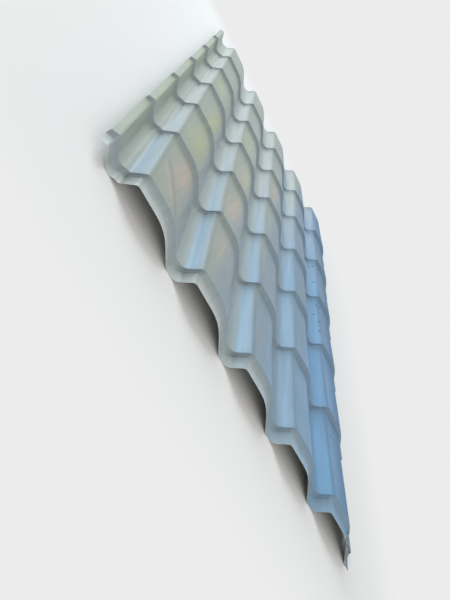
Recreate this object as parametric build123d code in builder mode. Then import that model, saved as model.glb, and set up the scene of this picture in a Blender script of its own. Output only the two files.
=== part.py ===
from build123d import *
import os

# Tile-effect corrugated steel sheet, lying flat with the pale face upwards.
# X runs across the waves, Y along the sheet from the cut end, Z up, in millimetres.

# Sheet metal
thickness = 0.5

# Waves, as the upper face shows them: a crest that rolls over into a gentle web, a round valley, a steep web
wave_pitch = 220.0
full_waves = 5
wave_depth = 40.0
crest_width = 100.0
gentle_web_run = 70.0
valley_width = 30.0
crest_radius = 120.0
nose_edge_radius = 14.0
valley_radius = 24.0

# Lap lip at the low side of the first wave
lip_overhang = 106.0
lip_tip_height = 20.0
lip_ridge_overhang = 88.0
lip_ridge_height = 29.0
lip_valley_start = 56.0
lip_valley_end = 40.0
lip_radius = 5.0

# Narrow drain ledge at the foot of the first web
ledge_start = 31.0
ledge_end = 21.0
ledge_low_height = 5.0
ledge_high_height = 7.0
ledge_radius = 12.0

# Far long edge, in the last valley
last_valley_width = 24.0

# Steps along the sheet
module = 350.0
modules = 6
step_height = 12.0
step_run = 8.0
apron = 45.0
foot_bend_before = 7.0
foot_bend_after = 0.4
foot_bend_rise = 2.6
nose_bend_run = 1.4
nose_bend_rise = 1.1
riser_depth = 0.8

sheet_length = apron + modules * module
sheet_right = (full_waves - 1) * wave_pitch + crest_width + gentle_web_run + last_valley_width
centre_x = (sheet_right - lip_overhang) / 2
centre_y = sheet_length / 2

# Corners of the upper face's wave and the bend radius at each inner corner
corners = [
    (-lip_overhang, lip_tip_height),
    (-lip_ridge_overhang, lip_ridge_height),
    (-lip_valley_start, 0),
    (-lip_valley_end, 0),
    (-ledge_start, ledge_low_height),
    (-ledge_end, ledge_high_height),
]
radii = [lip_radius, valley_radius, valley_radius, ledge_radius, ledge_radius]
for wave in range(full_waves):
    crest_start = wave * wave_pitch
    web_start = crest_start + crest_width
    valley_start = web_start + gentle_web_run
    valley_end = valley_start + valley_width
    corners += [(crest_start, wave_depth), (web_start, wave_depth), (valley_start, 0), (valley_end, 0)]
    radii += [nose_edge_radius, crest_radius, valley_radius, valley_radius]
corners[-1] = (sheet_right, 0)
radii.pop()

# Stations along the sheet: distance from the cut end, lift of the wave, depth of metal in the crest.
# Each step is a wide foot bend, a steep riser and a tight nose bend, and the tread falls gently from
# its nose to the next foot. A riser is deeper measured upright, so that its plate keeps its thickness.
stations = [(0, 0, thickness)]
for step in range(modules):
    foot = apron + step * module
    stations += [
        (foot - foot_bend_before, 0, thickness),
        (foot + foot_bend_after, foot_bend_rise, riser_depth),
        (foot + step_run - nose_bend_run, step_height - nose_bend_rise, riser_depth),
        (foot + step_run, step_height, thickness),
    ]
stations.append((sheet_length, 0, thickness))

# One skin, drawn as a closed wave section at every station and joined by straight rulings
with BuildPart() as sheet:
    for distance, lift, depth in stations:
        where = Plane((-centre_x, distance - centre_y, lift + thickness), x_dir=(1, 0, 0), z_dir=(0, -1, 0))
        with BuildSketch(where):
            with BuildLine():
                upper = FilletPolyline(*corners, radius=radii)
                parallel = offset(upper, thickness, side=Side.RIGHT, closed=False, mode=Mode.PRIVATE)
                lower = parallel.wire().moved(Location((0, thickness - depth)))
                add(lower)
                Line(upper @ 0, lower @ 0)
                Line(upper @ 1, lower @ 1)
            make_face()
    loft(ruled=True)

sheet.part.label = "sheet"
os.makedirs("parts", exist_ok=True)
export_step(sheet.part, "parts/sheet.step")
box = sheet.part.bounding_box()
print("sheet size", box.size, "volume cm3", sheet.part.volume / 1000)
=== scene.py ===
# Looks for the tile-effect steel sheet: a smooth visual skin, its weathered pale coating with painted light,
# shade and reflections, camera and light
import math
from types import SimpleNamespace
import bpy
import numpy as np
from mathutils import Matrix, Vector


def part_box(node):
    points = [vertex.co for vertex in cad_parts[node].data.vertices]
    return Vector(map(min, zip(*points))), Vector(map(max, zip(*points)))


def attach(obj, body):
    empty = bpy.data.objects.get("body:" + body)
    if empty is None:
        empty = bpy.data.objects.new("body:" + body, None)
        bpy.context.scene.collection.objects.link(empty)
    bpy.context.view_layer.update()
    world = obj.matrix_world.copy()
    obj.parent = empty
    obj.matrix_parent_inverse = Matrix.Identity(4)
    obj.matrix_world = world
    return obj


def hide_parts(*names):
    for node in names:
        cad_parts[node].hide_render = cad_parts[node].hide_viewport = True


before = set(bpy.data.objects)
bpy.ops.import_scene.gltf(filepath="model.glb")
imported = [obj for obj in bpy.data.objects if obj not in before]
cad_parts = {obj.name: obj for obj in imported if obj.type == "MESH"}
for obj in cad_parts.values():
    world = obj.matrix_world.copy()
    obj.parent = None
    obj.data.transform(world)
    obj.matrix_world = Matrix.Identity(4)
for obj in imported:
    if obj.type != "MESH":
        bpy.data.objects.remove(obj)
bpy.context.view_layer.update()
lowCorner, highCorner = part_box("sheet")
print("frame loaded, sheet box", tuple(lowCorner), tuple(highCorner))


# Camera: the photograph's own viewpoint and tilt relative to the sheet, all of it in the frame
view = {
    "eye": (-0.681, -2.212, 0.449),
    "aim": (-0.149, -0.937, 0.030),
    "pictureUp": (-0.783, 0.509, 0.357),
    "lens": 39.0,
    "nearest": 0.01,
}


def addCamera(settings):
    eye = Vector(settings["eye"])
    forward = (Vector(settings["aim"]) - eye).normalized()
    right = forward.cross(Vector(settings["pictureUp"])).normalized()
    up = right.cross(forward)
    camera = bpy.data.objects.new("camera", bpy.data.cameras.new("camera"))
    camera.matrix_world = Matrix((
        (right.x, up.x, -forward.x, eye.x),
        (right.y, up.y, -forward.y, eye.y),
        (right.z, up.z, -forward.z, eye.z),
        (0, 0, 0, 1),
    ))
    camera.data.lens = settings["lens"]
    camera.data.clip_start = settings["nearest"]
    bpy.context.scene.collection.objects.link(camera)
    bpy.context.scene.camera = camera


addCamera(view)
print("camera placed")


# Shader maths: a wrapped socket that takes part in Python expressions
class Signal:
    def __init__(self, shader, socket):
        self.shader = shader
        self.socket = socket

    def __add__(self, other):
        return self.shader.maths("ADD", self, other)

    def __radd__(self, other):
        return self.shader.maths("ADD", other, self)

    def __sub__(self, other):
        return self.shader.maths("SUBTRACT", self, other)

    def __rsub__(self, other):
        return self.shader.maths("SUBTRACT", other, self)

    def __mul__(self, other):
        return self.shader.maths("MULTIPLY", self, other)

    def __rmul__(self, other):
        return self.shader.maths("MULTIPLY", other, self)

    def __truediv__(self, other):
        return self.shader.maths("DIVIDE", self, other)

    def __pow__(self, other):
        return self.shader.maths("POWER", self, other)

    def atLeast(self, other):
        return self.shader.maths("MAXIMUM", self, other)

    def clamped(self):
        return self.shader.maths("MINIMUM", self.atLeast(0.0), 1.0)

    def output(self, name):
        return Signal(self.shader, self.socket.node.outputs[name])


# The nodes of one material or world, all made by the same method
class Shader:
    def __init__(self, owner):
        owner.use_nodes = True
        self.owner = owner
        self.tree = owner.node_tree
        self.tree.nodes.clear()

    def node(self, kind, settings=None, *values, out=0, **named):
        made = self.tree.nodes.new(kind)
        for key, value in (settings or {}).items():
            if key == "stops":
                self.setStops(made.color_ramp, value)
            else:
                setattr(made, key, value)
        for place, value in enumerate(values):
            self.feed(made.inputs[place], value)
        for key, value in named.items():
            self.feed(made.inputs[key.replace("_", " ")], value)
        return Signal(self, made.outputs[out]) if made.outputs else None

    def feed(self, socket, value):
        if isinstance(value, Signal):
            self.tree.links.new(value.socket, socket)
        elif value is not None:
            socket.default_value = value

    def setStops(self, ramp, stops):
        while len(ramp.elements) < len(stops):
            ramp.elements.new(1.0)
        for element, (place, colour) in zip(ramp.elements, stops):
            element.position = place
            element.color = colour

    def maths(self, operation, *values):
        return self.node("ShaderNodeMath", {"operation": operation}, *values)

    def vector(self, operation, *values, **named):
        return self.node("ShaderNodeVectorMath", {"operation": operation}, *values, **named)

    # Where a point lies on its object
    def where(self):
        return self.node("ShaderNodeTexCoord", out="Object")

    def acrossAlong(self, where):
        parts = self.node("ShaderNodeSeparateXYZ", {}, where)
        return parts.output("X"), parts.output("Y")

    def noise(self, where, scale, detail, roughness=0.5, stretch=(1, 1, 1)):
        stretched = self.vector("MULTIPLY", where, stretch)
        return self.node("ShaderNodeTexNoise", {}, Vector=stretched, Scale=scale, Detail=detail,
                         Roughness=roughness)

    # A share that rises smoothly from 0 at the first value to 1 at the second
    def step(self, value, low, high):
        smooth = {"interpolation_type": "SMOOTHSTEP"}
        return self.node("ShaderNodeMapRange", smooth, value, low, high, 0.0, 1.0)

    # A share that fades in over the first two values and out over the last two
    def band(self, value, start, full, fading, gone):
        return self.step(value, start, full) * (1.0 - self.step(value, fading, gone))

    # A noise as a share: the values between which it shows, then its scale, detail, roughness and stretch
    def pattern(self, where, low, high, *noise):
        return self.step(self.noise(where, *noise), low, high)

    # The Mix node keeps five sockets of other kinds between its factor and its two colours
    def blend(self, share, first, second):
        others = [None] * 5
        return self.node("ShaderNodeMix", {"data_type": "RGBA"}, share, *others, first, second, out=2)

    def attribute(self, name):
        return self.node("ShaderNodeAttribute", {"attribute_name": name}, out="Fac")

    def finish(self, surface, output="ShaderNodeOutputMaterial"):
        self.node(output, {}, surface)
        return self.owner


# The sheet's form, in metres and degrees, as in the part's source, with the soft bends of the pressing
form = {
    "thickness": 0.0005,
    "wavePitch": 0.220,
    "fullWaves": 5,
    "waveDepth": 0.040,
    "crestWidth": 0.100,
    "gentleWebRun": 0.070,
    "valleyWidth": 0.030,
    "crestRadius": 0.120,
    "noseEdgeRadius": 0.014,
    "valleyRadius": 0.024,
    "lip": ((-0.106, 0.020), (-0.088, 0.029), (-0.056, 0.0), (-0.040, 0.0), (-0.031, 0.005), (-0.021, 0.007)),
    "lipRadii": (0.005, 0.024, 0.024, 0.012, 0.012),
    "lastValleyWidth": 0.024,
    "module": 0.350,
    "modules": 6,
    "apron": 0.045,
    "stepHeight": 0.012,
    "stepRun": 0.008,
    "riserRun": 0.0062,
    "footRadius": 0.0150,
    "stepNoseRadius": 0.0028,
    "acrossSpacing": 0.012,
    "alongSpacing": 0.026,
    "acrossTurn": 8.0,
    "alongTurn": 12.0,
    "fewestTurns": 3,
    "bendMargin": 0.0015,
    "sharpAngle": 50.0,
}


# Points along a bent line: each corner becomes an arc, each straight gets points close to its bends
def bentLine(corners, radii, spacing, turnPerPoint):
    corners = [np.array(corner, float) for corner in corners]
    points = [corners[0]]
    for index, radius in enumerate(radii, start=1):
        before, corner, after = corners[index - 1:index + 2]
        inward = (corner - before) / np.linalg.norm(corner - before)
        outward = (after - corner) / np.linalg.norm(after - corner)
        turn = math.acos(np.clip(inward @ outward, -1, 1))
        reach = radius * math.tan(turn / 2)
        side = np.sign(inward[0] * outward[1] - inward[1] * outward[0])
        centre = corner - inward * reach + side * radius * np.array([-inward[1], inward[0]])
        start = corner - inward * reach - centre
        count = max(form["fewestTurns"], math.ceil(math.degrees(turn) / turnPerPoint))
        points += straight(points[-1], corner - inward * reach, spacing)
        for share in np.linspace(0, 1, count + 1)[1:]:
            angle = side * turn * share
            spun = (start[0] * math.cos(angle) - start[1] * math.sin(angle),
                    start[0] * math.sin(angle) + start[1] * math.cos(angle))
            points.append(centre + np.array(spun))
    points += straight(points[-1], corners[-1], spacing)
    return np.array(points)


# Points of a straight run after its first: near both bends, and evenly in between
def straight(first, last, spacing):
    length = np.linalg.norm(last - first)
    margin = min(form["bendMargin"], length / 4)
    inner = np.linspace(margin, length - margin, max(2, math.ceil(length / spacing) + 1))
    return [first + (last - first) * reach / length for reach in inner] + [last]


# The upper face's height across the waves
def waveLine(form):
    corners = list(form["lip"])
    radii = list(form["lipRadii"])
    for wave in range(form["fullWaves"]):
        crest = wave * form["wavePitch"]
        web = crest + form["crestWidth"]
        valley = web + form["gentleWebRun"]
        corners += [(crest, form["waveDepth"]), (web, form["waveDepth"]), (valley, 0.0),
                    (valley + form["valleyWidth"], 0.0)]
        radii += [form["noseEdgeRadius"], form["crestRadius"], form["valleyRadius"], form["valleyRadius"]]
    corners[-1] = (valley + form["lastValleyWidth"], 0.0)
    return bentLine(corners, radii[:-1], form["acrossSpacing"], form["acrossTurn"])


# The lift of the whole wave along the sheet
def stepLine(form):
    slack = (form["stepRun"] - form["riserRun"]) / 2
    corners = [(0.0, 0.0)]
    radii = []
    for step in range(form["modules"]):
        foot = form["apron"] + step * form["module"] + slack
        corners += [(foot, 0.0), (foot + form["riserRun"], form["stepHeight"])]
        radii += [form["footRadius"], form["stepNoseRadius"]]
    corners.append((form["apron"] + form["modules"] * form["module"], 0.0))
    return bentLine(corners, radii, form["alongSpacing"], form["alongTurn"])


# Slow waver of thin metal: a few seeded sine waves that die out at the stiff step bends
waver = {
    "seed": 7,
    "count": 26,
    "shortest": 0.09,
    "longest": 0.60,
    "leanSpread": 0.45,
    "alongShare": 0.45,
    "height": 0.00042,
}


def waverAt(x, y, lift, settings, form):
    rng = np.random.default_rng(settings["seed"])
    total = np.zeros_like(x)
    for _ in range(settings["count"]):
        length = settings["shortest"] * (settings["longest"] / settings["shortest"]) ** rng.random()
        lean = rng.normal(0, settings["leanSpread"])
        reach = x * math.cos(lean) + settings["alongShare"] * y * math.sin(lean) + rng.random()
        total += length / settings["longest"] * np.sin(2 * math.pi / length * reach)
    share = np.clip(lift / form["stepHeight"], 0, 1)
    return settings["height"] * total * np.sin(math.pi * share)


# Where light, shade and reflections are painted on the skin, as values at its points. The warm pink and green
# patches of painted reflection are given as across, along, half width, half length, lean and strength.
paintedLight = {
    "steepSlope": 1.6,
    "webReach": 0.022,  # how far a wave's steep web reaches before its crest
    "footFade": 0.030,  # shade before the foot of each step, and beyond it on the riser
    "riserFoot": 0.5,
    "riserFade": 1.9,
    "warmStart": 0.15,  # how the steep webs warm along the sheet and cool from wave to wave
    "warmPerModule": 0.40,
    "warmPerWave": -0.36,
    "edge": 0.105,  # how far the warm light reaches across the near crests
    "edgePerWave": -0.080,
    "edgePerModule": 0.030,
    "edgeLean": 0.18,
    "edgeSoft": 0.050,
    "pink": ((0.078, 0.285, 0.030, 0.095, 0.10, 1.00), (0.055, 0.135, 0.024, 0.055, -0.10, 0.60),
             (0.278, 0.560, 0.032, 0.110, 0.10, 0.90), (0.268, 0.270, 0.022, 0.085, 0.10, 0.60),
             (0.275, 0.900, 0.022, 0.120, 0.12, 0.60), (0.490, 1.260, 0.034, 0.120, 0.12, 0.80)),
    "green": ((0.075, 0.560, 0.040, 0.120, 0.08, 0.85), (0.090, 0.880, 0.032, 0.150, 0.10, 1.00),
              (0.300, 0.880, 0.020, 0.130, 0.12, 0.80), (0.040, 1.250, 0.035, 0.120, 0.10, 0.50),
              (0.260, 1.260, 0.034, 0.120, 0.10, 0.70), (-0.080, 0.900, 0.045, 0.900, 0.00, 0.45)),
}


def softPatches(x, y, patches):
    total = np.zeros_like(x)
    for across, along, halfWidth, halfLength, lean, strength in patches:
        aside = (x - across - lean * (y - along)) / halfWidth
        total += strength * np.exp(-aside ** 2 - ((y - along) / halfLength) ** 4)
    return np.clip(total, 0, 1)


# Each of these is a value from 0 to 1 at every point of the skin
def paintedLightAndDustMasks(across, along, wave, form, paintedLight):
    x, y = np.meshgrid(across[:, 0], along[:, 0], indexing="ij")
    steep = np.clip(np.gradient(wave, across[:, 0], axis=0) / paintedLight["steepSlope"], 0, 1)
    riser = np.clip(np.abs(np.gradient(along[:, 1], along[:, 0])), 0, 1)
    number = np.floor((x + paintedLight["webReach"]) / form["wavePitch"])
    module = np.floor((y - form["apron"]) / form["module"])
    tread = y - form["apron"] - module * form["module"]
    inWave = x - number * form["wavePitch"]
    # How far the warm painted reflection reaches across each crest
    edge = paintedLight["edge"] + paintedLight["edgePerWave"] * np.maximum(number, 0)
    edge = np.minimum(edge + paintedLight["edgePerModule"] * module * (number > 0), paintedLight["edge"])
    edge = edge + paintedLight["edgeLean"] * tread
    # Painted shade before the foot of each step and on the riser
    beforeFoot = np.exp((tread - form["module"]) / paintedLight["footFade"])
    onRiser = paintedLight["riserFoot"] * np.clip(paintedLight["riserFade"] - tread / form["riserRun"], 0, 1)
    # Warm painted reflection on the steep webs, growing along the sheet and fading from wave to wave
    warm = paintedLight["warmStart"] + paintedLight["warmPerModule"] * module + paintedLight["warmPerWave"] * number + tread
    return {
        "steep": steep,
        "riser": np.broadcast_to(riser[None, :], x.shape),
        "low": 1 - np.clip(wave / form["waveDepth"], 0, 1),
        "foot": np.maximum(beforeFoot, onRiser),
        "warmCrest": np.clip((edge - inWave) / paintedLight["edgeSoft"] + 0.5 + (number < 0), 0, 1),
        "warmWave": np.clip(warm, 0, 1),
        # Pink and green patches of painted reflection; low also places dust in the coating
        "pink": softPatches(x, y, paintedLight["pink"]) * (1 - steep),
        "green": softPatches(x, y, paintedLight["green"]) * (1 - steep),
    }


# The points of the upper face, and those of the lower face one thickness behind them, inside the solid's box
def skinPoints(across, along, form):
    x, y = np.meshgrid(across[:, 0], along[:, 0], indexing="ij")
    wave, lift = np.meshgrid(across[:, 1], along[:, 1], indexing="ij")
    x = x - across[0, 0] + lowCorner.x
    y = y + lowCorner.y
    z = wave + lift + waverAt(x, y, lift, waver, form) + form["thickness"]
    slopeAcross = np.gradient(z, x[:, 0], axis=0)
    slopeAlong = np.gradient(z, y[0], axis=1)
    normal = np.stack([-slopeAcross, -slopeAlong, np.ones_like(z)], -1)
    normal /= np.linalg.norm(normal, axis=-1, keepdims=True)
    upper = np.stack([x, y, z], -1)
    lower = upper - normal * form["thickness"]
    lower[..., 0] = np.clip(lower[..., 0], lowCorner.x, highCorner.x)
    lower[..., 1] = np.clip(lower[..., 1], lowCorner.y, highCorner.y)
    lower[..., 2] = np.maximum(lower[..., 2], 0.0)
    return np.concatenate([upper.reshape(-1, 3), lower.reshape(-1, 3)])


# The faces of the skin, all of four points, and the material of each: face, back or cut edge
def skinFaces(columns, rows):
    index = np.arange(columns * rows).reshape(columns, rows)
    under = index + columns * rows
    corners = [index[:-1, :-1], index[1:, :-1], index[1:, 1:], index[:-1, 1:]]
    top = np.stack(corners, -1).reshape(-1, 4)
    bottom = np.stack([part + columns * rows for part in corners[::-1]], -1).reshape(-1, 4)
    rim = []
    for edge, below in ((index[:, 0], under[:, 0]), (index[-1, :], under[-1, :]),
                        (index[::-1, -1], under[::-1, -1]), (index[0, ::-1], under[0, ::-1])):
        rim.append(np.stack([edge[:-1], below[:-1], below[1:], edge[1:]], -1))
    rim = np.concatenate(rim)
    kinds = np.repeat([0, 1, 2], [len(top), len(bottom), len(rim)]).astype(np.int32)
    return np.concatenate([top, bottom, rim]), kinds


def addSheet(form):
    across = waveLine(form)
    along = stepLine(form)
    wave = np.repeat(across[:, 1][:, None], len(along), axis=1)
    faces, kinds = skinFaces(*wave.shape)
    mesh = bpy.data.meshes.new("sheetSkin")
    mesh.from_pydata(skinPoints(across, along, form).tolist(), [], faces.tolist())
    mesh.polygons.foreach_set("use_smooth", np.ones(len(faces), bool))
    mesh.set_sharp_from_angle(angle=math.radians(form["sharpAngle"]))
    mesh.polygons.foreach_set("material_index", kinds)
    for name, values in paintedLightAndDustMasks(across, along, wave, form, paintedLight).items():
        bothFaces = np.tile(values.ravel(), 2).astype(np.float32)
        mesh.attributes.new(name, "FLOAT", "POINT").data.foreach_set("value", bothFaces)
    mesh.validate()
    mesh.update()
    print("sheet skin", len(across), "by", len(along), "points", 2 * len(faces), "triangles")
    sheet = bpy.data.objects.new("sheetSkin", mesh)
    bpy.context.scene.collection.objects.link(sheet)
    return sheet


# The point of the upper face over a place given across the waves and along the sheet
def surfacePoint(x, y):
    across = waveLine(form)
    along = stepLine(form)
    wave = np.interp(x, across[:, 0], across[:, 1])
    lift = np.interp(y, along[:, 0], along[:, 1])
    return Vector((x - across[0, 0] + lowCorner.x, y + lowCorner.y, float(wave + lift + form["thickness"])))


# Share of a soft line between two places on the sheet, full on the line and gone at its half width
def lineShare(shader, where, mark):
    startX, startY, endX, endY, halfWidth, strength = mark
    first = surfacePoint(startX, startY)
    run = surfacePoint(endX, endY) - first
    reach = shader.vector("SUBTRACT", where, first)
    onLine = shader.vector("DOT_PRODUCT", reach, run).output("Value")
    foot = shader.vector("SCALE", run, Scale=(onLine / run.length_squared).clamped())
    away = shader.vector("DISTANCE", reach, foot).output("Value")
    return (1.0 - shader.step(away, 0.0, halfWidth)) * strength


# The pale coil coating is built up in layers, each with its colours, places and strengths beside it.
# Bands are in metres from the start of a crest, as where they fade in and where they fade out. Reaches and
# shifts are in metres too. From and until are shares of the way across the sheet. A strength of 1 hides
# what lies under it. A pattern is given by the values between which its noise shows, then the noise's
# scale, detail, roughness and stretch, and a plain noise by those four alone.
# These tints are shared by several layers.
tints = {
    "dust": (0.287, 0.270, 0.226, 1),
    "soil": (0.0391, 0.0331, 0.0261, 1),
    "bare": (0.592, 0.609, 0.609, 1),
    # The scratch colour, which also paints the crease's shade, then the crease's painted highlight
    "scratchAndPaintedShade": (0.131, 0.144, 0.148, 1),
    "paintedHighlight": (0.522, 0.557, 0.539, 1),
}

layout = {
    "nearUntil": (0.35, 0.70),
    "waveLead": 0.060,  # a wave is counted from this far before its crest
    "ledgeReach": 0.050,  # how far the ledge's change to the first wave reaches
    "ledgeShift": 0.008,  # and how far it moves that wave's bright facet
    "streakLean": 0.18,
    "crestStreak": (1.0, 4.0, 0.6, (75, 4, 1)),
    "steepStreak": (1.0, 3.0, 0.55, (60, 3, 60)),
    "cloud": (4.0, 2.0),
    "film": (0.45, 0.75, 28.0, 5.0, 0.6, (1.0, 0.4, 1.0)),
}


# What every layer needs to know about a point of the sheet
def sheetSpot(shader, look):
    where = shader.where()
    across, along = shader.acrossAlong(where)
    share = (across - lowCorner.x) / (highCorner.x - lowCorner.x)
    spot = SimpleNamespace(where=where, across=across, along=along, share=share, near=1.0 - share)
    for name in ("steep", "foot", "low", "riser", "warmCrest", "warmWave"):
        setattr(spot, name, shader.attribute(name))
    spot.nearWaves = 1.0 - shader.step(share, *look["nearUntil"])
    spot.firstCrest = lowCorner.x - form["lip"][0][0]
    pastLead = across - (spot.firstCrest - look["waveLead"])
    spot.inWave = shader.maths("FLOORED_MODULO", pastLead, form["wavePitch"]) - look["waveLead"]
    pastLedge = shader.step(across, spot.firstCrest, spot.firstCrest + look["ledgeReach"])
    spot.ledge = (1.0 - pastLedge) * look["ledgeShift"]
    apronEnd = lowCorner.y + form["apron"]
    spot.tread = shader.step(along, apronEnd, apronEnd + form["stepRun"])
    # Leaning streaks along which the painted reflections and painted light vary
    leaning = shader.node("ShaderNodeCombineXYZ", {}, across - along * look["streakLean"], along, 0.0)
    crestStreak = shader.noise(leaning, *look["crestStreak"])
    steepStreak = shader.noise(where, *look["steepStreak"])
    spot.streak = crestStreak * (1.0 - spot.steep) + steepStreak * spot.steep
    spot.cloud = shader.noise(where, *look["cloud"])
    spot.film = shader.pattern(where, *look["film"])
    return spot


# Crests, gentle webs and valleys: the grey-green coating turning bluer across the sheet as a painted sky
# reflection and shade, with warm painted reflections on the near crests. The green and pink painted
# reflections have a colour, a strength in the streaks and an even strength.
crests = {
    "coolAcross": ((0.10, (0.270, 0.314, 0.316, 1)), (0.30, (0.245, 0.303, 0.325, 1)),
                   (0.50, (0.200, 0.280, 0.342, 1)), (0.68, (0.164, 0.256, 0.343, 1)),
                   (0.78, (0.134, 0.226, 0.335, 1)), (0.92, (0.108, 0.206, 0.328, 1))),
    "drift": 0.07,
    "warm": (0.315, 0.355, 0.308, 1),
    "lights": {"green": ((0.400, 0.452, 0.191, 1), 1.1, 0.3), "pink": ((0.468, 0.382, 0.308, 1), 1.0, 0.5)},
    "warmFray": 0.25,
    "warmFrom": 0.30,
    "warmFade": 0.40,
}


def crestTone(shader, spot, look):
    drifting = spot.share + (spot.cloud - 0.5) * look["drift"]
    cool = shader.node("ShaderNodeValToRGB", {"stops": look["coolAcross"]}, drifting)
    warm = look["warm"]
    for name, (colour, streaky, even) in look["lights"].items():
        light = shader.attribute(name) * (spot.streak * streaky + even)
        warm = shader.blend(light.clamped(), warm, colour)
    # Share of the warm painted reflection on the near crests
    warmShare = (spot.warmCrest + (spot.streak - 0.5) * look["warmFray"]).clamped()
    warmShare = warmShare * shader.step(spot.warmCrest, 0.0, look["warmFrom"])
    return shader.blend(warmShare * (1.0 - spot.share * look["warmFade"]), cool, warm)


# Steep webs: a painted sky reflection as a bright facet under each crest, bluer towards the far edge, and a
# thin painted highlight as a pale rim below it
steepWebs = {
    "cool": (0.246, 0.380, 0.520, 1),
    "warm": (0.452, 0.474, 0.461, 1),
    "blue": (0.138, 0.316, 0.518, 1),
    "blueFrom": (0.72, 0.84),
    "paleAlong": (-0.45, 0.55),  # metres from the sheet's middle, over which the blue turns paler
    "pale": 0.70,
    "facetBand": (-0.027, -0.018, -0.010, 0.006),
    "facetWander": 0.008,
    "facet": 0.80,
    "facetStreak": 0.70,
    "rimColour": (0.409, 0.461, 0.400, 1),
    "rimBand": (-0.038, -0.030, -0.025, -0.018),
    "rimShift": 0.80,
    "rim": 0.60,
}


def addSteepWebs(shader, spot, tone, look):
    start, full, fading, gone = look["facetBand"]
    wander = spot.inWave + (spot.cloud - 0.5) * look["facetWander"]
    facet = shader.step(wander + spot.ledge, start, full) * (1.0 - shader.step(wander, fading, gone))
    pale = shader.step(spot.along, *look["paleAlong"]) * look["pale"]
    blue = shader.step(spot.share, *look["blueFrom"]) * (1.0 - pale)
    bright = shader.blend(spot.warmWave, look["cool"], look["warm"])
    bright = shader.blend(blue, bright, look["blue"])
    streaky = (spot.streak - 0.5) * look["facetStreak"] + look["facet"]
    tone = shader.blend((facet * streaky * spot.tread).clamped(), tone, bright)
    rim = shader.band(spot.inWave + spot.ledge * look["rimShift"], *look["rimBand"])
    return shader.blend(rim * look["rim"] * spot.nearWaves, tone, look["rimColour"])


# Low places and the apron get painted light, as if they caught the floor's light; the far risers take the
# same painted light and the near risers a painted shade
lowPlaces = {
    "lit": (0.392, 0.444, 0.444, 1),
    "litLip": (0.385, 0.425, 0.385, 1),
    "lipReach": 0.035,
    "litFar": (0.245, 0.355, 0.460, 1),
    "litFarFrom": (0.35, 0.80),
    "low": 0.45,
    "lowNear": 0.45,
    "apronColour": (0.455, 0.495, 0.488, 1),
    "apronFar": (0.260, 0.390, 0.510, 1),
    "apronFarFrom": (0.45, 0.85),
    "apron": 0.60,
    "apronNear": 0.30,
    "apronSteep": 0.70,
    "riserColour": (0.295, 0.360, 0.410, 1),
    "riserNear": 0.70,
    "riserFar": 0.80,
}


def addLowPlaces(shader, spot, tone, look):
    lit = shader.blend(shader.step(spot.share, *look["litFarFrom"]), look["lit"], look["litFar"])
    pastLip = shader.step(spot.across, spot.firstCrest - look["lipReach"], spot.firstCrest)
    lit = shader.blend(pastLip, look["litLip"], lit)
    low = spot.low * (1.0 - spot.steep) * (look["low"] + spot.near * look["lowNear"])
    tone = shader.blend(low.clamped(), tone, lit)
    apronFar = shader.step(spot.share, *look["apronFarFrom"])
    apronColour = shader.blend(apronFar, look["apronColour"], look["apronFar"])
    apron = (1.0 - spot.tread) * (1.0 - spot.steep * spot.near * look["apronSteep"])
    tone = shader.blend(apron * (look["apron"] + spot.near * look["apronNear"]), tone, apronColour)
    tone = shader.blend(spot.riser * (1.0 - spot.near) * look["riserFar"], tone, lit)
    return shader.blend(spot.riser * spot.near * look["riserNear"], tone, look["riserColour"])


# Painted light and shade: lighter and darker along the streaks of the painted reflections, painted shade at
# the foot of each tread on the steep webs with a painted lift on the flats there, painted shade at the brink
# of each crest and painted light at the cut end
levels = {
    "streak": 0.30,
    "footSteep": 0.50,
    "footNear": 0.25,
    "footFlat": 0.10,
    "brinkBand": (-0.006, 0.0, 0.004, 0.014),
    "brink": 0.16,
    "cutReach": (0.005, 0.035),
    "cutEnd": 0.18,
}


def shadeLevel(shader, spot, look):
    footSteep = spot.foot * spot.steep * (look["footSteep"] + spot.nearWaves * look["footNear"])
    footFlat = spot.foot * (1.0 - spot.steep) * look["footFlat"]
    brink = shader.band(spot.inWave, *look["brinkBand"]) * look["brink"] * spot.nearWaves
    cutStart, cutStop = look["cutReach"]
    cutEnd = 1.0 - shader.step(spot.along, lowCorner.y + cutStart, lowCorner.y + cutStop)
    level = (1.0 + (spot.streak - 0.5) * look["streak"]) * (1.0 - footSteep)
    level = level * (1.0 + footFlat) * (1.0 - brink)
    return level * (1.0 + cutEnd * spot.near * look["cutEnd"])


# Marks of handling: hairline scuffs, a soft crease by the first crest, drawn as a painted highlight and a
# painted shade over a shallow bump, and a few longer scratches. Lines run between two places, across and
# along from the cut end, and have a half width and a strength.
handling = {
    "hair": (0.70, 0.76, 1.0, 1.0, 0.5, (420, 9, 420)),
    "hairPlace": (0.58, 0.66, 7.0, 1.0),
    "hairStrength": 0.25,
    "creaseLight": (0.014, 0.210, 0.070, 0.100, 0.0080, 0.22),
    "creaseDark": (0.030, 0.225, 0.100, 0.075, 0.0170, 0.30),
    "scratches": ((-0.020, 0.318, -0.012, 0.284, 0.0007, 0.5), (-0.012, 0.284, -0.003, 0.262, 0.0007, 0.5),
                  (-0.014, 0.352, -0.013, 0.330, 0.0008, 0.5), (-0.018, 0.385, -0.002, 0.372, 0.0040, 0.4),
                  (0.201, 0.560, 0.203, 0.500, 0.0008, 0.3), (0.216, 0.860, 0.218, 0.790, 0.0008, 0.3)),
    "scratchClean": 0.40,
    "scratchDusty": 0.60,
}


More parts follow.
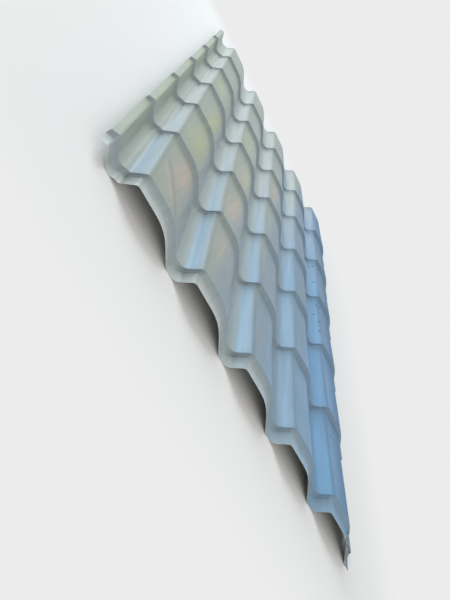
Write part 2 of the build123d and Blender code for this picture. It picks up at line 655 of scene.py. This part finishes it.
def addHandling(shader, spot, tone, look, creaseLight, creaseDark):
    hair = shader.pattern(spot.where, *look["hair"]) * shader.pattern(spot.where, *look["hairPlace"])
    tone = shader.blend(hair * look["hairStrength"], tone, tints["bare"])
    # The crease's painted highlight and painted shade
    tone = shader.blend(creaseLight, tone, tints["paintedHighlight"])
    tone = shader.blend(creaseDark, tone, tints["scratchAndPaintedShade"])
    dusty = look["scratchClean"] + spot.film * look["scratchDusty"]
    for mark in look["scratches"]:
        tone = shader.blend(lineShare(shader, spot.where, mark) * dusty, tone, tints["scratchAndPaintedShade"])
    return tone


# Small dark specks with rough rims, each placed across and along from the cut end and with its radius
specks = {
    "places": ((0.866, 1.385, 0.0039), (0.874, 1.392, 0.0044), (0.872, 1.235, 0.0039),
               (0.878, 1.125, 0.0039), (0.877, 1.039, 0.0046), (0.884, 1.026, 0.0044),
               (0.870, 0.965, 0.0037), (0.878, 0.911, 0.0046), (0.876, 0.842, 0.0039),
               (0.912, 0.860, 0.0046), (0.904, 0.303, 0.0041), (1.046, 0.640, 0.0039),
               (1.066, 0.470, 0.0034), (1.060, 0.905, 0.0039), (0.120, 0.030, 0.0021)),
    "rough": (260.0, 2.0),
    "rim": (0.75, 1.10),
    "strength": 0.92,
}


def speckShare(shader, where, look):
    rough = shader.noise(where, *look["rough"]) - 0.5
    inner, outer = look["rim"]
    share = 0.0
    for x, y, radius in look["places"]:
        away = shader.vector("DISTANCE", where, surfacePoint(x, y)).output("Value")
        speck = 1.0 - shader.step(away + rough * radius, radius * inner, radius * outer)
        share = speck.atLeast(share)
    return share


# Soil and chips at the cut end's far corner, and grime along the far long edge
dirt = {
    "corner": (1.070, 0.012),
    "soil": (0.48, 0.54, 95.0, 5.0, 0.65),
    "soilReach": (0.120, 0.050),
    "soilStrength": 0.85,
    "chips": (0.58, 0.63, 80.0, 3.0),
    "chipReach": (0.100, 0.040),
    "chipStrength": 0.80,
    "grime": (0.46, 0.62, 34.0, 4.0),
    "grimeReach": (0.022, 0.0),
    "grimeStrength": 0.50,
}


def addDirt(shader, spot, tone, look):
    corner = shader.vector("DISTANCE", spot.where, surfacePoint(*look["corner"])).output("Value")
    soil = shader.step(corner, *look["soilReach"]) * shader.pattern(spot.where, *look["soil"])
    tone = shader.blend(soil * look["soilStrength"], tone, tints["soil"])
    chips = shader.step(corner, *look["chipReach"]) * shader.pattern(spot.where, *look["chips"])
    tone = shader.blend(chips * look["chipStrength"], tone, tints["bare"])
    edge = shader.step(highCorner.x - spot.across, *look["grimeReach"])
    grime = edge * shader.pattern(spot.where, *look["grime"])
    return shader.blend(grime * look["grimeStrength"], tone, tints["dust"])


# The whole coating: its layers, a thin film of dust, its gloss and its fine grain
coating = {
    "dust": 0.03,
    "dustLow": 0.05,
    "roughness": 0.38,
    "roughFar": 0.30,  # the last wave is duller
    "roughFarFrom": (0.84, 0.93),
    "smudge": (11.0, 4.0, 0.6),
    "smudgeRough": 0.16,
    "dustRough": 0.35,
    "speckRough": 0.40,
    "grain": (900.0, 2.0),
    "grainHeight": 0.40,
    "peel": (160.0, 2.0),
    "creaseHeight": 6.0,
    "bumpStrength": 0.25,
    "bumpDepth": 0.00012,
    "specular": 0.13,
    "coat": 0.12,
    "coatRoughness": 0.24,
}


def paleCoating(look):
    shader = Shader(bpy.data.materials.new("paleCoating"))
    spot = sheetSpot(shader, layout)
    creaseLight = lineShare(shader, spot.where, handling["creaseLight"])
    creaseDark = lineShare(shader, spot.where, handling["creaseDark"])
    tone = crestTone(shader, spot, crests)
    tone = addSteepWebs(shader, spot, tone, steepWebs)
    tone = addLowPlaces(shader, spot, tone, lowPlaces)
    dust = spot.film * (look["dust"] + spot.low * look["dustLow"])
    tone = shader.blend(dust, tone, tints["dust"])
    tone = shader.vector("SCALE", tone, Scale=shadeLevel(shader, spot, levels))
    tone = addHandling(shader, spot, tone, handling, creaseLight, creaseDark)
    speck = speckShare(shader, spot.where, specks)
    tone = shader.blend(speck * specks["strength"], tone, tints["soil"])
    tone = addDirt(shader, spot, tone, dirt)
    smudge = (shader.noise(spot.where, *look["smudge"]) - 0.5) * look["smudgeRough"]
    matt = shader.step(spot.share, *look["roughFarFrom"]) * look["roughFar"]
    roughness = look["roughness"] + matt + smudge + dust * look["dustRough"] + speck * look["speckRough"]
    grain = shader.noise(spot.where, *look["grain"]) * look["grainHeight"]
    crease = (creaseLight - creaseDark) * look["creaseHeight"]
    relief = grain + shader.noise(spot.where, *look["peel"]) + crease
    bump = shader.node("ShaderNodeBump", {}, Strength=look["bumpStrength"], Distance=look["bumpDepth"],
                       Height=relief)
    gloss = spot.nearWaves * (1.0 - spot.foot * spot.steep) * look["coat"]
    return shader.finish(shader.node("ShaderNodeBsdfPrincipled", {}, Base_Color=tone,
                                     Roughness=roughness.clamped(), Normal=bump,
                                     Specular_IOR_Level=look["specular"], Coat_Weight=gloss,
                                     Coat_Roughness=look["coatRoughness"]))


# The plain grey back coat, clouded and a little dusty
back = {
    "dark": (0.40, 0.43, 0.42, 1),
    "pale": (0.46, 0.49, 0.47, 1),
    "cloud": (0.35, 0.70, 6.0, 4.0),
    "film": (0.50, 0.75, 40.0, 5.0),
    "dust": 0.20,
    "roughness": 0.45,
    "dustRough": 0.15,
}


def backCoating(look):
    shader = Shader(bpy.data.materials.new("backCoating"))
    where = shader.where()
    film = shader.pattern(where, *look["film"])
    tone = shader.blend(shader.pattern(where, *look["cloud"]), look["dark"], look["pale"])
    tone = shader.blend(film * look["dust"], tone, tints["dust"])
    roughness = look["roughness"] + film * look["dustRough"]
    return shader.finish(shader.node("ShaderNodeBsdfPrincipled", {}, Base_Color=tone, Roughness=roughness))


# The sheared edge of zinc and steel, stained in places
edge = {
    "bright": (0.72, 0.74, 0.74, 1),
    "stained": (0.50, 0.50, 0.48, 1),
    "stain": (0.45, 0.70, 60.0, 4.0),
    "metallic": 0.4,
    "roughness": 0.4,
}


def cutEdge(look):
    shader = Shader(bpy.data.materials.new("cutEdge"))
    stain = shader.pattern(shader.where(), *look["stain"])
    tone = shader.blend(stain, look["bright"], look["stained"])
    return shader.finish(shader.node("ShaderNodeBsdfPrincipled", {}, Base_Color=tone,
                                     Metallic=look["metallic"], Roughness=look["roughness"]))


sheet = addSheet(form)
for material in (paleCoating(coating), backCoating(back), cutEdge(edge)):
    sheet.data.materials.append(material)
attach(sheet, "root")
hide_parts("sheet")
print("sheet dressed")


# Floor and light: a wide pale floor that keeps the shadow and gives way to the plain background, an even
# sky, a soft key from the lip's side, a fill from the cut end and a weak cool lamp behind the far edge.
# Lamps have a place, a size, a colour and a power.
studio = {
    "floorHalf": 30.0,
    "floorDrop": 0.0003,
    "floorColour": (0.91, 0.895, 0.885, 1),
    "floorShown": (0.03, 0.45),
    "skyColour": (1.0, 0.99, 0.965, 1),
    "skyStrength": 0.49,
    "backgroundColour": (1, 1, 1, 1),
    "backgroundStrength": 0.84,
    "lamps": {
        "key": ((-5.0, 4.7, 3.2), 5.5, (0.82, 0.94, 1.0), 630.0),
        "fill": ((0.6, -6.0, 2.0), 4.0, (1.0, 0.99, 0.97), 92.0),
        "back": ((5.2, 4.4, 1.6), 4.0, (0.05, 0.42, 1.0), 48.0),
    },
}


# Rays that see the plain background: straight from the camera, by reflection or through something clear
def backgroundRays(shader):
    ray = shader.node("ShaderNodeLightPath")
    seen = ray.output("Is Camera Ray")
    for kind in ("Is Glossy Ray", "Is Transmission Ray"):
        seen = seen.atLeast(ray.output(kind))
    return seen


def floorMaterial(settings):
    shader = Shader(bpy.data.materials.new("floor"))
    across, along = shader.acrossAlong(shader.where())
    outAcross = (shader.maths("ABSOLUTE", across) - highCorner.x).atLeast(0.0)
    outAlong = (shader.maths("ABSOLUTE", along) - highCorner.y).atLeast(0.0)
    fromSheet = (outAcross * outAcross + outAlong * outAlong) ** 0.5
    clear = shader.step(fromSheet, *settings["floorShown"]) * backgroundRays(shader)
    matte = shader.node("ShaderNodeBsdfDiffuse", {}, Color=settings["floorColour"])
    plain = shader.node("ShaderNodeEmission", {}, Color=settings["backgroundColour"],
                        Strength=settings["backgroundStrength"])
    return shader.finish(shader.node("ShaderNodeMixShader", {}, clear, matte, plain))


def addFloor(settings):
    half = settings["floorHalf"]
    mesh = bpy.data.meshes.new("floor")
    corners = [(-half, -half, 0), (half, -half, 0), (half, half, 0), (-half, half, 0)]
    mesh.from_pydata(corners, [], [(0, 1, 2, 3)])
    mesh.materials.append(floorMaterial(settings))
    floor = bpy.data.objects.new("floor", mesh)
    floor.location.z = -settings["floorDrop"]
    bpy.context.scene.collection.objects.link(floor)


def addSky(settings):
    shader = Shader(bpy.data.worlds.new("studio"))
    sky = shader.node("ShaderNodeBackground", {}, Color=settings["skyColour"],
                      Strength=settings["skyStrength"])
    plain = shader.node("ShaderNodeBackground", {}, Color=settings["backgroundColour"],
                        Strength=settings["backgroundStrength"])
    mix = shader.node("ShaderNodeMixShader", {}, backgroundRays(shader), sky, plain)
    bpy.context.scene.world = shader.finish(mix, "ShaderNodeOutputWorld")


def addLamp(name, place, size, colour, power):
    lamp = bpy.data.lights.new(name, "AREA")
    lamp.size = size
    lamp.color = colour
    lamp.energy = power
    light = bpy.data.objects.new(name, lamp)
    light.location = place
    light.rotation_euler = (-Vector(place)).to_track_quat("-Z", "Y").to_euler()
    bpy.context.scene.collection.objects.link(light)


addFloor(studio)
addSky(studio)
for name, (place, size, colour, power) in studio["lamps"].items():
    addLamp(name, place, size, colour, power)
bpy.context.scene.view_settings.view_transform = "Standard"
print("studio ready")
